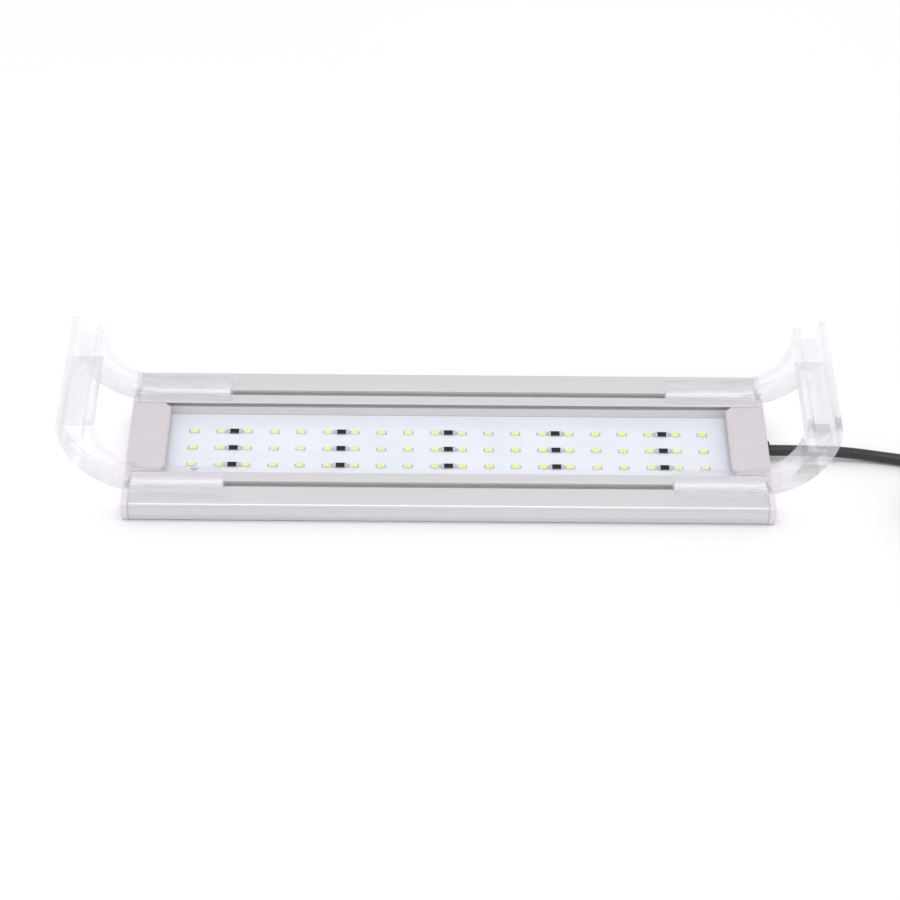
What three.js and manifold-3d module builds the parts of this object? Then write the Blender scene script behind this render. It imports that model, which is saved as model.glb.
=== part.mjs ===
// LED bar light for an aquarium, lying on its back with its light side up.
// Millimetres. X runs along the bar, Y across it, +Z up. The origin is on the surface that the bar lies on,
// below its middle. Two clear brackets slide in the bar's T-slots and stand on the rim of the tank in use.

import * as THREE from 'three';
import { mergeVertices } from 'three/addons/utils/BufferGeometryUtils.js';
import Module from 'manifold-3d';

const wasm = await Module();
wasm.setup();

// ---- Driving dimensions -------------------------------------------------------------------------------

const BAR_LENGTH = 296; // over the end caps
const BAR_WIDTH = 96;
const BAR_HEIGHT = 11;
const FIT = 0.15; // gap between pieces that lie on each other

const CAP_PLATE = 2.6; // thickness of an end cap's plate
const CAP_TONGUE = 18; // how far a cap covers the end of the recess, from the bar's end
const CAP_TONGUE_THICK = 2.1;
const SEAL_THICK = 0.5;

const RECESS_HALF = 25; // half the width of the light recess
const RECESS_FLOOR = 1.9;
const SLOT_AT = 33; // the T-slots' distance from the bar's middle
const SLOT_MOUTH = 3.8;
const SLOT_WIDE = 8.4;
const SLOT_BOTTOM = 6;
const LIP = 1.4; // thickness of the lips over a T-slot
const SCREW_AT = 42.6; // the screw ports' distance from the bar's middle
const SCREW_HEIGHT = 5.4;

const PAD = { length: 262, width: 47, thick: 0.3 };
const BOARD = { length: 274, width: 49.7, thick: 1.6, corner: 1.5 };
const LED = { length: 3.5, width: 2.8, thick: 0.8, pitch: 12.5, rowPitch: 12, perString: 4 };
const STRINGS_PER_ROW = 5;
const ROW_NAMES = ['a', 'b', 'c']; // from the rear row to the front row
const TRACK = { width: 1, thick: 0.12 };
const RESISTOR = { length: 6.3, width: 2.8, thick: 0.6, terminal: 0.8 };

const ARM_SIDES = [25.5, 40]; // an arm's two sides, from the bar's middle
const ARM_IN = 101.8; // the arms' inner ends
const ARM_CLEAR = 0.4; // the arms' height above the bar
const ARM_TOP = 4; // top of an arm's straight stretch above the bar
const BRACKET_OUT = 175.2; // outer face of a bracket, from the bar's middle
const PRONG = 3.3; // thickness of the walls beside the rim slot
const RIM_SLOT = 8.1; // width of the rim slot
const OUTER_WALL_TOP = 39.2; // heights above the bar
const INNER_WALL_TOP = 35.4;
const RIM_SLOT_FLOOR = 29.2;
const CHANNEL_FLOOR = 2.2; // thickness of the rim slot's floor between the arms
const OUTER_BEND = 38; // radius of an arm's outer bend
const INNER_BEND = 26; // radius of the bend that rises to the inner wall
const FOOT = { stem: 3.2, width: 7.6, thick: 2.7, end: 145, clear: 0.4 };

const LEAD = 5.2; // diameter of the power lead
const LEAD_SIDES = 10;
const WIRE = 1.6; // diameter of the wires inside
const COIL_RADIUS = 29; // at the middle of the coiled turns
const COIL_CENTRE = [252, -44];
const COIL_SLOTS = 4; // turns side by side
const COIL_LAYERS = 2; // turns on each other
const COIL_LIFT = 0.8; // the tie's band passes below the coil
const TIE = { band: 0.5, length: 5, clear: 0.3, angle: 300 };
const PLUG = { body: 9.6, neck: 6.6, bodyLength: 20, neckLength: 12, barrel: 5.5, bore: 2.1, barrelLength: 9.5 };

// ---- Materials ----------------------------------------------------------------------------------------

const finish = (color, roughness, metalness = 0) => new THREE.MeshStandardMaterial({ color, roughness, metalness });
const aluminium = () => finish(0xd5d5d6, 0.38, 0.9);
const capGrey = () => finish(0xb9b0b0, 0.6);
const steel = () => finish(0xb8babd, 0.3, 1);
const rubber = () => finish(0x1b1b1c, 0.8);
const silicone = () => finish(0xb4b2b4, 0.7);
const padGrey = () => finish(0x9aa3ad, 0.9);
const boardWhite = () => finish(0xf3f6fb, 0.35);
const ledPackage = () => finish(0xe6e88c, 0.4);
const resistorBlack = () => finish(0x1d1e20, 0.5);
const clear = () => {
  const material = finish(0xf2f3f7, 0.05);
  material.transparent = true;
  material.opacity = 0.3;
  return material;
};

// ---- Solids -------------------------------------------------------------------------------------------

// A closed geometry as a manifold solid, for joins and cuts.
function solid(geometry) {
  const bare = geometry.index ? geometry.toNonIndexed() : geometry.clone();
  bare.deleteAttribute('normal');
  bare.deleteAttribute('uv');
  const merged = mergeVertices(bare, 1e-4);
  return new wasm.Manifold(new wasm.Mesh({
    numProp: 3,
    vertProperties: Float32Array.from(merged.attributes.position.array),
    triVerts: Uint32Array.from(merged.index.array),
  }));
}

function geometryOf(manifold) {
  const mesh = manifold.getMesh();
  const geometry = new THREE.BufferGeometry();
  geometry.setAttribute('position', new THREE.BufferAttribute(mesh.vertProperties, 3));
  geometry.setIndex(new THREE.BufferAttribute(mesh.triVerts, 1));
  geometry.computeVertexNormals();
  return geometry;
}

// A box between two corners.
function boxBetween([x0, y0, z0], [x1, y1, z1]) {
  const geometry = new THREE.BoxGeometry(x1 - x0, y1 - y0, z1 - z0);
  return geometry.translate((x0 + x1) / 2, (y0 + y1) / 2, (z0 + z1) / 2);
}

// A section drawn in Y and Z, extruded along X.
function alongX(shape, x0, x1, curveSegments = 8) {
  const geometry = new THREE.ExtrudeGeometry(shape, { depth: x1 - x0, bevelEnabled: false, curveSegments });
  const turn = new THREE.Matrix4().makeBasis(
    new THREE.Vector3(0, 1, 0), new THREE.Vector3(0, 0, 1), new THREE.Vector3(1, 0, 0));
  return geometry.applyMatrix4(turn).translate(x0, 0, 0);
}

// A section drawn in X and Z, extruded along Y.
function alongY(shape, y0, y1, curveSegments = 12) {
  const geometry = new THREE.ExtrudeGeometry(shape, { depth: y1 - y0, bevelEnabled: false, curveSegments });
  return geometry.rotateX(Math.PI / 2).translate(0, y1, 0);
}

// A round piece about the X axis; the profile lists [along X, radius].
function turnedX(profile, sides) {
  const points = profile.map(([x, r]) => new THREE.Vector2(r, x));
  return new THREE.LatheGeometry(points, sides).rotateZ(-Math.PI / 2);
}

function cylinderX(radius, x0, x1, sides) {
  return turnedX([[x0, 0], [x0, radius], [x1, radius], [x1, 0]], sides);
}

function polygon(points) {
  return new THREE.Shape(points.map(([a, b]) => new THREE.Vector2(a, b)));
}

// A section symmetric about the bar's middle, from the points of its +Y half, in order from bottom to top.
function mirrored(half) {
  return polygon([...half, ...half.map(([y, z]) => [-y, z]).reverse()]);
}

function roundSection(diameter, sides) {
  const points = [];
  for (let i = 0; i < sides; i++) {
    const angle = (i + 0.5) * 2 * Math.PI / sides;
    points.push([diameter / 2 * Math.cos(angle), diameter / 2 * Math.sin(angle)]);
  }
  return polygon(points);
}

// A round tube along a smooth curve through the points.
function tube(points, diameter, sides, steps) {
  const extrudePath = new THREE.CatmullRomCurve3(points.map((p) => new THREE.Vector3(...p)), false, 'centripetal');
  return new THREE.ExtrudeGeometry(roundSection(diameter, sides), { steps, extrudePath, bevelEnabled: false });
}

// ---- Housing ------------------------------------------------------------------------------------------

const HALF_WIDTH = BAR_WIDTH / 2;
const HALF_LENGTH = BAR_LENGTH / 2;
const SEAL_AT = HALF_LENGTH - CAP_PLATE - FIT; // outer face of a seal
const HOUSING_HALF = SEAL_AT - SEAL_THICK - FIT;
const EDGE = { bottomIn: 2.4, sideIn: 1.6, sideLow: 0.8, sideTop: 4.8, round: 0.6 }; // bevel below, round above
const RIBS = { first: 11, pitch: 5, count: 7, gap: 2.4, depth: 0.8 };
const SPLASH_GROOVE = { top: 0.5, height: 2.1, depth: 2.2 }; // below the edge of the recess

// The outer outline of one half, from the bottom's edge up to the top face.
function flangeOutline() {
  const points = [
    [HALF_WIDTH - EDGE.bottomIn, 0],
    [HALF_WIDTH - EDGE.sideIn, EDGE.sideLow],
    [HALF_WIDTH, EDGE.sideTop],
  ];
  const arcSteps = 4;
  for (let i = 0; i <= arcSteps; i++) {
    const angle = i * Math.PI / 2 / arcSteps;
    points.push([
      HALF_WIDTH - EDGE.round + EDGE.round * Math.cos(angle),
      BAR_HEIGHT - EDGE.round + EDGE.round * Math.sin(angle),
    ]);
  }
  return points;
}

// The outline of one T-slot, walked from its outer lip to its inner lip; extra widens it all round.
function slotOutline(extra = 0) {
  const mouth = SLOT_MOUTH / 2 + extra;
  const wide = SLOT_WIDE / 2 + extra;
  const lipBottom = BAR_HEIGHT - LIP + extra;
  const bottom = SLOT_BOTTOM - extra;
  return [
    [SLOT_AT + mouth, BAR_HEIGHT], [SLOT_AT + mouth, lipBottom], [SLOT_AT + wide, lipBottom],
    [SLOT_AT + wide, bottom], [SLOT_AT - wide, bottom], [SLOT_AT - wide, lipBottom],
    [SLOT_AT - mouth, lipBottom], [SLOT_AT - mouth, BAR_HEIGHT],
  ];
}

function ribbedBottom() {
  const points = [];
  for (let i = 0; i < RIBS.count; i++) {
    const low = RIBS.first + i * RIBS.pitch - RIBS.gap / 2;
    points.push([low, 0], [low, RIBS.depth], [low + RIBS.gap, RIBS.depth], [low + RIBS.gap, 0]);
  }
  return points;
}

function housing() {
  const grooveTop = BAR_HEIGHT - SPLASH_GROOVE.top;
  const grooveBottom = grooveTop - SPLASH_GROOVE.height;
  const section = mirrored([
    ...ribbedBottom(),
    ...flangeOutline(),
    ...slotOutline(),
    [RECESS_HALF, BAR_HEIGHT], [RECESS_HALF, grooveTop],
    [RECESS_HALF + SPLASH_GROOVE.depth, grooveTop], [RECESS_HALF + SPLASH_GROOVE.depth, grooveBottom],
    [RECESS_HALF, grooveBottom], [RECESS_HALF, RECESS_FLOOR],
  ]);
  let body = solid(alongX(section, -HOUSING_HALF, HOUSING_HALF));
  for (const side of [-1, 1]) {
    body = body.subtract(flangeChamber(side)).subtract(screwPort(side));
  }
  return geometryOf(body);
}

// The hollow of a flange, which runs right through and leaves the screw port's boss standing.
function flangeChamber(side) {
  const wall = 1.7;
  const inner = SLOT_AT + SLOT_WIDE / 2 + wall;
  const outer = HALF_WIDTH - 1.8;
  const top = BAR_HEIGHT - 1.5;
  const past = HOUSING_HALF + 1;
  const hollow = polygon([[inner, wall], [outer - 1.2, wall], [outer, EDGE.sideTop], [outer, top], [inner, top]]);
  const boss = cylinderX(2.7, -past - 1, past + 1, 16).translate(0, SCREW_AT, SCREW_HEIGHT);
  const web = boxBetween([-past - 1, SCREW_AT - 0.9, wall - 1], [past + 1, SCREW_AT + 0.9, SCREW_HEIGHT]);
  const chamber = solid(alongX(hollow, -past, past)).subtract(solid(boss)).subtract(solid(web));
  return side < 0 ? chamber.mirror([0, 1, 0]) : chamber;
}

function screwPort(side) {
  const port = cylinderX(1.35, -HALF_LENGTH, HALF_LENGTH, 16);
  return solid(port.translate(0, side * SCREW_AT, SCREW_HEIGHT));
}

// ---- End caps, seals and screws -----------------------------------------------------------------------

const SCREW = { head: 2.7, headDepth: 1.6, shank: 1.15, length: 9, clearance: 1.7 };
const GROMMET = { neck: 3.3, flange: 4.4, flangeThick: 1, bore: LEAD / 2 + 0.2 };

// A cap for the right end; the lead's hole is only in the right one.
function endCap(withLeadHole) {
  const plateIn = HALF_LENGTH - CAP_PLATE;
  const section = mirrored([...flangeOutline(), ...slotOutline(0.15)]);
  let cap = solid(alongX(section, plateIn, HALF_LENGTH)).add(capTongue());
  for (const side of [-1, 1]) {
    const hole = turnedX([
      [plateIn - 1, 0], [plateIn - 1, SCREW.clearance],
      [HALF_LENGTH - SCREW.headDepth, SCREW.clearance],
      [HALF_LENGTH - 0.1, SCREW.head + 0.3], [HALF_LENGTH + 1, SCREW.head + 0.3], [HALF_LENGTH + 1, 0],
    ], 16);
    cap = cap.subtract(solid(hole.translate(0, side * SCREW_AT, SCREW_HEIGHT)));
  }
  if (withLeadHole) {
    const hole = cylinderX(GROMMET.neck + 0.15, plateIn - 1, HALF_LENGTH + 1, 20);
    cap = cap.subtract(solid(hole.translate(0, 0, SCREW_HEIGHT)));
  }
  return geometryOf(cap);
}

// The plate that covers the end of the recess, level with the rails, with its corners cut at 45 degrees.
function capTongue() {
  const inner = HALF_LENGTH - CAP_TONGUE;
  const outer = HALF_LENGTH - CAP_PLATE + 1;
  const half = RECESS_HALF - 0.3;
  const corner = 2.4;
  const bevel = 0.6;
  const plan = polygon([
    [inner + corner, -half + bevel], [outer, -half + bevel], [outer, half - bevel],
    [inner + corner, half - bevel], [inner + bevel, half - corner], [inner + bevel, corner - half],
  ]);
  const geometry = new THREE.ExtrudeGeometry(plan, {
    depth: CAP_TONGUE_THICK - 2 * bevel, bevelThickness: bevel, bevelSize: bevel, bevelSegments: 1,
  });
  return solid(geometry.translate(0, 0, BAR_HEIGHT - CAP_TONGUE_THICK + bevel));
}

// A flat seal, a little inside the housing's outline and open where the recess and the slots are.
function capSeal() {
  const inset = 0.3;
  const window = RECESS_HALF; // the wires pass through it
  const section = mirrored([
    [HALF_WIDTH - EDGE.bottomIn - inset, inset + EDGE.sideLow],
    [HALF_WIDTH - inset, EDGE.sideTop],
    [HALF_WIDTH - inset, BAR_HEIGHT - inset - 0.6],
    [HALF_WIDTH - inset - 0.6, BAR_HEIGHT - inset],
    [SLOT_AT + SLOT_WIDE / 2 + inset, BAR_HEIGHT - inset],
    [SLOT_AT + SLOT_WIDE / 2 + inset, SLOT_BOTTOM - inset],
    [SLOT_AT - SLOT_WIDE / 2 - inset, SLOT_BOTTOM - inset],
    [SLOT_AT - SLOT_WIDE / 2 - inset, BAR_HEIGHT - inset],
    [window, BAR_HEIGHT - inset], [window, RECESS_FLOOR + inset],
  ]);
  let seal = solid(alongX(section, SEAL_AT - SEAL_THICK, SEAL_AT));
  for (const side of [-1, 1]) {
    const hole = cylinderX(SCREW.clearance, SEAL_AT - 2, SEAL_AT + 2, 12);
    seal = seal.subtract(solid(hole.translate(0, side * SCREW_AT, SCREW_HEIGHT)));
  }
  return geometryOf(seal);
}

// A countersunk screw with a cross recess, its head just inside the cap's face.
function capScrew() {
  const face = HALF_LENGTH - 0.1;
  const body = solid(turnedX([
    [face - SCREW.length, 0], [face - SCREW.length, 0.4], [face - SCREW.length + 1.2, SCREW.shank],
    [face - SCREW.headDepth, SCREW.shank], [face - 0.2, SCREW.head], [face, SCREW.head], [face, 0],
  ], 16));
  const across = { half: 1.5, width: 0.3, depth: 0.8 };
  const slotY = boxBetween([face - across.depth, -across.half, -across.width], [face + 1, across.half, across.width]);
  const slotZ = boxBetween([face - across.depth, -across.width, -across.half], [face + 1, across.width, across.half]);
  return geometryOf(body.subtract(solid(slotY)).subtract(solid(slotZ)));
}

// ---- Board, LEDs, resistors and wires -----------------------------------------------------------------

const PAD_BOTTOM = RECESS_FLOOR + FIT;
const BOARD_BOTTOM = PAD_BOTTOM + PAD.thick + FIT;
const BOARD_TOP = BOARD_BOTTOM + BOARD.thick;
const CHIPS_ON = BOARD_TOP + FIT; // underside of what is soldered to the board

function board() {
  const x = BOARD.length / 2 - BOARD.corner;
  const y = BOARD.width / 2 - BOARD.corner;
  const plan = new THREE.Shape();
  plan.absarc(x, y, BOARD.corner, 0, Math.PI / 2);
  plan.absarc(-x, y, BOARD.corner, Math.PI / 2, Math.PI);
  plan.absarc(-x, -y, BOARD.corner, Math.PI, 1.5 * Math.PI);
  plan.absarc(x, -y, BOARD.corner, 1.5 * Math.PI, 2 * Math.PI);
  const geometry = new THREE.ExtrudeGeometry(plan, { depth: BOARD.thick, bevelEnabled: false, curveSegments: 4 });
  return geometryOf(solid(geometry.translate(0, 0, BOARD_BOTTOM)));
}

// Four LED packages in a line, with the copper track along their middles that joins them.
function ledString() {
  const span = (LED.perString - 1) * LED.pitch;
  const [low, high] = [CHIPS_ON, CHIPS_ON + LED.thick];
  const track = { end: span / 2 + LED.length / 4, low: low + 0.02 };
  let string = solid(boxBetween(
    [-track.end, -TRACK.width / 2, track.low], [track.end, TRACK.width / 2, track.low + TRACK.thick]));
  for (let i = 0; i < LED.perString; i++) {
    const x = i * LED.pitch - span / 2;
    const chip = boxBetween([x - LED.length / 2, -LED.width / 2, low], [x + LED.length / 2, LED.width / 2, high]);
    string = string.add(solid(chip));
  }
  return geometryOf(string);
}

// A chip resistor, which bridges the track: the ceramic between two slightly thicker terminals.
function resistor() {
  const { length, width, thick, terminal } = RESISTOR;
  const step = 0.06;
  const section = polygon([
    [-length / 2, 0], [length / 2, 0], [length / 2, thick], [length / 2 - terminal, thick],
    [length / 2 - terminal, thick - step], [terminal - length / 2, thick - step],
    [terminal - length / 2, thick], [-length / 2, thick],
  ]);
  const low = CHIPS_ON + 0.02 + TRACK.thick + 0.1;
  return alongY(section, -width / 2, width / 2).translate(0, 0, low);
}

// A wire from the grommet's inner face to its pad on the board.
function boardWire(side) {
  const start = HALF_LENGTH - CAP_PLATE - 0.6;
  const pad = [BOARD.length / 2 - 4, side * 3.2, BOARD_TOP + WIRE / 2 + FIT];
  return tube([
    [start, side * 1.2, SCREW_HEIGHT + 0.6], [start - 2, side * 1.6, SCREW_HEIGHT + 0.7],
    [start - 6, side * 2.8, SCREW_HEIGHT + 0.5], [pad[0] + 2, pad[1], pad[2]], pad,
  ], WIRE, 8, 14);
}

// ---- Tank brackets ------------------------------------------------------------------------------------

// The right bracket: two arms with their feet in the T-slots, and the channel of the rim slot across them.
function tankBracket() {
  const top = (height) => BAR_HEIGHT + height;
  const slotOut = BRACKET_OUT - PRONG;
  const slotIn = slotOut - RIM_SLOT;
  const innerFace = slotIn - PRONG - 0.2;
  const bevel = 0.5;

  const side = new THREE.Shape();
  side.moveTo(ARM_IN, top(ARM_CLEAR));
  side.absarc(BRACKET_OUT - OUTER_BEND, top(ARM_CLEAR + OUTER_BEND), OUTER_BEND, -Math.PI / 2, 0);
  side.lineTo(BRACKET_OUT, top(OUTER_WALL_TOP) - bevel);
  side.lineTo(BRACKET_OUT - bevel, top(OUTER_WALL_TOP));
  side.lineTo(slotOut + bevel, top(OUTER_WALL_TOP));
  side.lineTo(slotOut, top(OUTER_WALL_TOP) - bevel);
  side.lineTo(slotOut, top(RIM_SLOT_FLOOR));
  side.lineTo(slotIn, top(RIM_SLOT_FLOOR));
  side.lineTo(slotIn, top(INNER_WALL_TOP) - bevel);
  side.lineTo(slotIn - bevel, top(INNER_WALL_TOP));
  side.lineTo(innerFace + bevel, top(INNER_WALL_TOP));
  side.lineTo(innerFace, top(INNER_WALL_TOP) - bevel);
  side.absarc(innerFace - INNER_BEND, top(ARM_TOP + INNER_BEND), INNER_BEND, 0, -Math.PI / 2, true);
  side.lineTo(ARM_IN + bevel, top(ARM_TOP));
  side.lineTo(ARM_IN, top(ARM_TOP) - bevel);

  const [innerY, outerY] = ARM_SIDES;
  const above = top(OUTER_WALL_TOP + 1);
  const past = BRACKET_OUT + 1;
  let kept = solid(boxBetween([innerFace - 1, -outerY, top(RIM_SLOT_FLOOR - CHANNEL_FLOOR)], [past, outerY, above]));
  for (const [y0, y1] of [[innerY, outerY], [-outerY, -innerY]]) {
    kept = kept.add(solid(boxBetween([ARM_IN - 1, y0, BAR_HEIGHT], [past, y1, above])));
  }
  const body = solid(alongY(side, -outerY, outerY)).intersect(kept);
  return geometryOf(body.add(slidingFoot(SLOT_AT)).add(slidingFoot(-SLOT_AT)));
}

// The T-shaped foot below an arm, which runs in the slot of the bar.
function slidingFoot(middle) {
  const footTop = BAR_HEIGHT - LIP - FOOT.clear;
  const footBottom = footTop - FOOT.thick;
  const stemTop = BAR_HEIGHT + ARM_CLEAR + 1.6;
  const section = polygon([
    [middle - FOOT.width / 2, footBottom], [middle + FOOT.width / 2, footBottom],
    [middle + FOOT.width / 2, footTop], [middle + FOOT.stem / 2, footTop],
    [middle + FOOT.stem / 2, stemTop], [middle - FOOT.stem / 2, stemTop],
    [middle - FOOT.stem / 2, footTop], [middle - FOOT.width / 2, footTop],
  ]);
  return solid(alongX(section, ARM_IN + 1, FOOT.end));
}

// ---- Power lead ---------------------------------------------------------------------------------------

const [COIL_X, COIL_Y] = COIL_CENTRE;
const COIL_OUTER_TURN = COIL_RADIUS + (COIL_SLOTS - 1) / 2 * LEAD;
const COIL_OUT = COIL_RADIUS + COIL_SLOTS / 2 * LEAD;
const COIL_IN = COIL_RADIUS - COIL_SLOTS / 2 * LEAD;
const LEAD_START = HALF_LENGTH + GROMMET.flangeThick + 0.3;
const COIL_MEET = 20.6; // along the outer turn's tangent, where the coil's solid begins

// The stretch from the grommet along the surface to the coil.
const LEAD_ROUTE = [
  [LEAD_START, 0, 5.4], [156, 0, 5.4], [164, 0, 5.3], [173, 0.1, 5], [182, 0.2, 4.5], [191, 0, 3.6],
  [199, -0.7, 2.9], [207, -2.1, 2.7], [215, -3.8, 2.8], [223, -5.3, 3.1],
  [COIL_X - COIL_MEET, COIL_Y + COIL_OUTER_TURN - 0.2, COIL_LIFT + LEAD / 2],
];

// The stretch from the coil's upper layer to the plug beside it.
const TAIL_TOP = COIL_LIFT + (COIL_LAYERS - 0.5) * LEAD;
const PLUG_AT = [COIL_X + COIL_OUTER_TURN, COIL_Y - 37, PLUG.body / 2];
const TAIL_ROUTE = [
  [PLUG_AT[0], COIL_Y - COIL_MEET, TAIL_TOP - 1.2], [PLUG_AT[0], COIL_Y - 26, TAIL_TOP - 2.3],
  [PLUG_AT[0], COIL_Y - 31.5, PLUG_AT[2] + 0.5], [PLUG_AT[0], PLUG_AT[1] + 0.3, PLUG_AT[2]],
];

// The outer shape of the wound turns: a ring with small bevels.
function coil() {
  const bevel = 1.2;
  const low = COIL_LIFT;
  const high = COIL_LIFT + COIL_LAYERS * LEAD;
  const outline = [
    [COIL_IN + bevel, low], [COIL_OUT - bevel, low], [COIL_OUT, low + bevel], [COIL_OUT, high - bevel],
    [COIL_OUT - bevel, high], [COIL_IN + bevel, high], [COIL_IN, high - bevel], [COIL_IN, low + bevel],
    [COIL_IN + bevel, low],
  ];
  const ring = new THREE.LatheGeometry(outline.map(([r, z]) => new THREE.Vector2(r, z)), 40);
  return ring.rotateX(Math.PI / 2).translate(COIL_X, COIL_Y, 0);
}

// A flat band round the bundle of turns.
function tie() {
  const halfWide = COIL_SLOTS / 2 * LEAD + TIE.clear;
  const low = COIL_LIFT - TIE.clear;
  const high = COIL_LIFT + COIL_LAYERS * LEAD + TIE.clear;
  const outer = boxBetween(
    [-halfWide - TIE.band, -TIE.length / 2, low - TIE.band], [halfWide + TIE.band, TIE.length / 2, high + TIE.band]);
  const inner = boxBetween([-halfWide, -TIE.length, low], [halfWide, TIE.length, high]);
  const band = geometryOf(solid(outer).subtract(solid(inner)));
  const angle = TIE.angle * Math.PI / 180;
  return band.rotateZ(angle).translate(
    COIL_X + COIL_RADIUS * Math.cos(angle), COIL_Y + COIL_RADIUS * Math.sin(angle), 0);
}

// Turned pieces of the plug, drawn along +X from where the lead enters, then laid along -Y.
function plugPiece(profile, sides = 20) {
  return turnedX(profile, sides).rotateZ(-Math.PI / 2).translate(...PLUG_AT);
}

function plugOvermould() {
  const { body, neck, bodyLength, neckLength } = PLUG;
  return plugPiece([
    [0, 0], [0, neck / 2 - 0.5], [0.5, neck / 2], [neckLength - 3, neck / 2 + 0.5], [neckLength, body / 2 - 0.5],
    [neckLength + 1, body / 2], [neckLength + bodyLength - 1, body / 2],
    [neckLength + bodyLength, body / 2 - 0.8], [neckLength + bodyLength, 0],
  ]);
}

function plugBarrel() {
  const start = PLUG.neckLength + PLUG.bodyLength + 0.2;
  const end = start + PLUG.barrelLength;
  const [outside, bore] = [PLUG.barrel / 2, PLUG.bore / 2 + 0.5];
  return plugPiece([
    [start, 0], [start, outside], [end - 0.4, outside], [end, outside - 0.3], [end, bore],
    [start + 1.5, bore], [start + 1.5, 0],
  ]);
}

// The insulating sleeve inside the barrel, round the plug's contact hole.
function plugInsulator() {
  const start = PLUG.neckLength + PLUG.bodyLength + 0.2;
  const outside = PLUG.bore / 2 + 0.3;
  const hole = PLUG.bore / 2 - 0.35;
  const [low, high] = [start + 1.8, start + PLUG.barrelLength + 0.2];
  return plugPiece([[low, 0], [low, outside], [high, outside], [high, hole], [low + 1, hole], [low + 1, 0]], 16);
}

function grommet() {
  const inner = HALF_LENGTH - CAP_PLATE;
  const face = HALF_LENGTH + 0.15;
  return turnedX([
    [inner, GROMMET.bore], [inner, GROMMET.neck], [face, GROMMET.neck], [face, GROMMET.flange],
    [face + GROMMET.flangeThick - 0.3, GROMMET.flange], [face + GROMMET.flangeThick, GROMMET.flange - 0.3],
    [face + GROMMET.flangeThick, GROMMET.bore], [inner, GROMMET.bore],
  ], 20).translate(0, 0, SCREW_HEIGHT);
}

// ---- Assembly -----------------------------------------------------------------------------------------

const lamp = new THREE.Group();

function place(name, geometry, material, parent = lamp) {
  const mesh = new THREE.Mesh(geometry, material);
  mesh.name = name;
  parent.add(mesh);
  return mesh;
}

place('housing_extrusion', housing(), aluminium());
place('thermal_pad', boxBetween(
  [-PAD.length / 2, -PAD.width / 2, PAD_BOTTOM],
  [PAD.length / 2, PAD.width / 2, PAD_BOTTOM + PAD.thick]), padGrey());
place('led_board', board(), boardWhite());

// Each end is made for the right; the left end's group is turned half round.
for (const end of ['left', 'right']) {
  const group = new THREE.Group();
  group.rotation.z = end === 'left' ? Math.PI : 0;
  lamp.add(group);
  place(`${end}_end_cap`, endCap(end === 'right'), capGrey(), group);
  place(`${end}_cap_seal`, capSeal(), silicone(), group);
  const rearSide = end === 'left' ? -1 : 1;
  for (const [where, side] of [['rear', rearSide], ['front', -rearSide]]) {
    const screw = place(`${end}_cap_screw_${where}`, capScrew(), steel(), group);
    screw.position.set(0, side * SCREW_AT, SCREW_HEIGHT);
  }
  place(`${end}_tank_bracket`, tankBracket(), clear(), group);
}

// Three rows of strings; each string's resistor sits between its second and third LED.
const stringPitch = LED.perString * LED.pitch;
ROW_NAMES.forEach((row, r) => {
  for (let s = 0; s < STRINGS_PER_ROW; s++) {
    const x = (s - (STRINGS_PER_ROW - 1) / 2) * stringPitch;
    const y = (1 - r) * LED.rowPitch;
    place(`led_string_${row}${s + 1}`, ledString(), ledPackage()).position.set(x, y, 0);
    place(`resistor_${row}${s + 1}`, resistor(), resistorBlack()).position.set(x, y, 0);
  }
});

place('positive_wire', boardWire(1), finish(0xb3231d, 0.5));
place('negative_wire', boardWire(-1), rubber());
place('cable_grommet', grommet(), rubber());
place('power_lead', tube(LEAD_ROUTE, LEAD, LEAD_SIDES, 24), rubber());
place('power_lead_coil', coil(), rubber());
place('power_lead_tail', tube(TAIL_ROUTE, LEAD, LEAD_SIDES, 12), rubber());
place('lead_tie', tie(), rubber());
place('plug_overmould', plugOvermould(), rubber());
place('plug_barrel', plugBarrel(), steel());
place('plug_insulator', plugInsulator(), finish(0xd8b23a, 0.5));

export default lamp;
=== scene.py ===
import math

import bmesh
import bpy
from mathutils import Euler, Matrix, Quaternion, Vector


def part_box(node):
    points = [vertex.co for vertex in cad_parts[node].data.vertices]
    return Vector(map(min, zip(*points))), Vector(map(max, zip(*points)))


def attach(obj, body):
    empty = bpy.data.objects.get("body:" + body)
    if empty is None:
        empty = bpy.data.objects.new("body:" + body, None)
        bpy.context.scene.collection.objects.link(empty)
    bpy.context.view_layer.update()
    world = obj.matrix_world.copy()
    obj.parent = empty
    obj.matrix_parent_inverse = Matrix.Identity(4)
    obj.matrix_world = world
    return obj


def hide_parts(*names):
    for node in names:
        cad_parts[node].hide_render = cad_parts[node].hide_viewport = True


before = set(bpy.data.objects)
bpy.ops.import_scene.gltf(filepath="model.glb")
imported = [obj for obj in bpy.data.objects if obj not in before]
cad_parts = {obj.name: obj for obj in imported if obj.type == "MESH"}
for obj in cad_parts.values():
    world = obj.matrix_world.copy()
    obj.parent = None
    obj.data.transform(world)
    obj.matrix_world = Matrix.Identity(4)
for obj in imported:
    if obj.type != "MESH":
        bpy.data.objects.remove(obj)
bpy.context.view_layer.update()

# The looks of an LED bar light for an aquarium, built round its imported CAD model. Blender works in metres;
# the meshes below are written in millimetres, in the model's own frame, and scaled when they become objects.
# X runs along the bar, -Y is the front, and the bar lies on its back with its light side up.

MM = 0.001
BODY_OF_SIDE = {"left": "left_bracket", "right": "right_bracket"}


def box_mm(node):
    low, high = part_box(node)
    return [v / MM for v in low], [v / MM for v in high]


# ---- Camera -------------------------------------------------------------------------------------------

# Degrees for the angles, metres for the distance and target, millimetres for the lens and sensor.
CAMERA = {"elevation": 40.0, "yaw": -0.7, "roll": 0.9, "distance": 1.3358, "target_z": 0.0052,
          "lens": 114.92, "sensor": 36.0, "shift": (0.00169, -0.00205)}


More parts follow.
